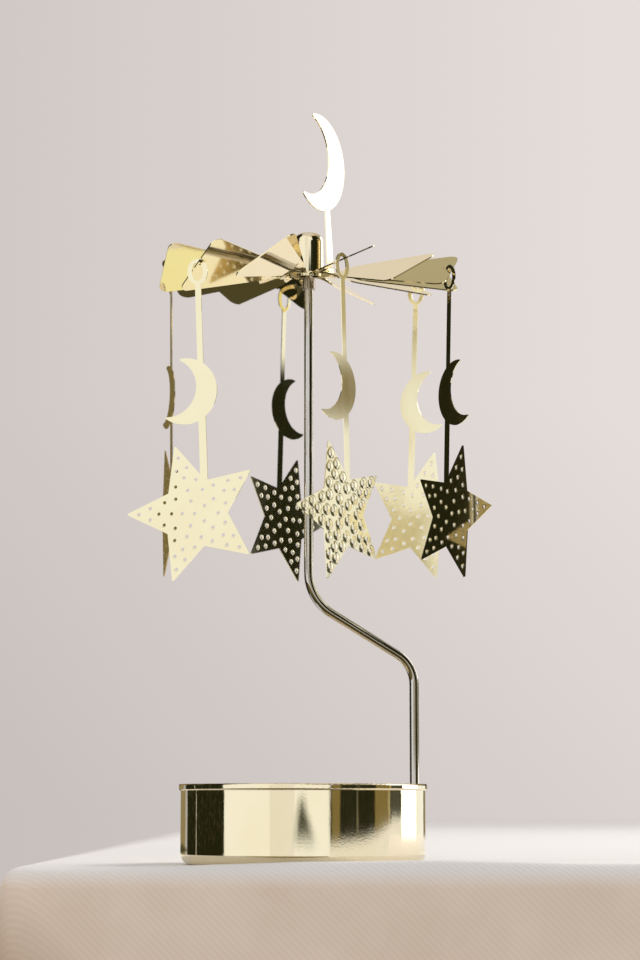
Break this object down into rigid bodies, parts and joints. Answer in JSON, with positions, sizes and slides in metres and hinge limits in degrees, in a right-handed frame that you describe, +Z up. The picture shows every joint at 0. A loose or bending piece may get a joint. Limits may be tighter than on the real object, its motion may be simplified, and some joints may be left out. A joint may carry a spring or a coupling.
{
  "type": "spinning tealight carousel",
  "caption": "Candle carousel: a round dish with a bent wire stand, a bladed rotor that spins on the wire's point, and hanging pierced star and crescent charms.",
  "frame": {"origin": "centre of the dish's flat underside, on the surface that it stands on", "axes": "+Z up along the stand, front towards -Y, the wire's foot towards +X"},
  "size_m": [0.0934, 0.1057, 0.1993],
  "materials": {
    "dish_brass": "mirror polished, lacquered",
    "rotor_brass": "mirror polished, lacquered",
    "charm_brass": "mirror polished, lacquered",
    "wire_steel": "bright plated",
    "sleeve_steel": "dull bronze grey"
  },
  "bodies": {
    "base": {"candle_dish": "dish_brass", "stand_clip": "dish_brass", "wire_stand": "wire_steel", "stop_sleeve": "sleeve_steel"},
    "rotor": {"rotor": "rotor_brass", "pivot_cap": "rotor_brass", "moon_finial": "charm_brass"},
    "charm_1": {"charm_1": "charm_brass"},
    "charm_2": {"charm_2": "charm_brass"},
    "charm_3": {"charm_3": "charm_brass"},
    "charm_4": {"charm_4": "charm_brass"},
    "charm_5": {"charm_5": "charm_brass"},
    "charm_6": {"charm_6": "charm_brass"}
  },
  "joints": [
    {"name": "rotor_spin", "type": "hinge", "parent": "base", "child": "rotor", "pos_m": [0.00147, 0.00031, 0.1674], "axis": [0, 0, 1], "continuous": true},
    {"name": "charm_1_swing", "type": "hinge", "parent": "rotor", "child": "charm_1", "pos_m": [0.03143, 0.02669, 0.15917], "axis": [0.599, 0.8007, 0], "range_deg": [-12, 12]},
    {"name": "charm_2_swing", "type": "hinge", "parent": "rotor", "child": "charm_2", "pos_m": [-0.00562, 0.03993, 0.16], "axis": [-0.7793, 0.6266, 0], "range_deg": [-12, 12]},
    {"name": "charm_3_swing", "type": "hinge", "parent": "rotor", "child": "charm_3", "pos_m": [-0.03632, 0.01176, 0.1589], "axis": [-0.9603, -0.279, 0], "range_deg": [-12, 12]},
    {"name": "charm_4_swing", "type": "hinge", "parent": "rotor", "child": "charm_4", "pos_m": [-0.02731, -0.02503, 0.15407], "axis": [-0.2723, -0.9622, 0], "range_deg": [-12, 12]},
    {"name": "charm_5_swing", "type": "hinge", "parent": "rotor", "child": "charm_5", "pos_m": [0.01006, -0.03663, 0.15311], "axis": [0.7902, -0.6129, 0], "range_deg": [-12, 12]},
    {"name": "charm_6_swing", "type": "hinge", "parent": "rotor", "child": "charm_6", "pos_m": [0.03879, -0.01051, 0.15568], "axis": [0.8607, 0.509, 0], "range_deg": [-12, 12]}
  ]
}
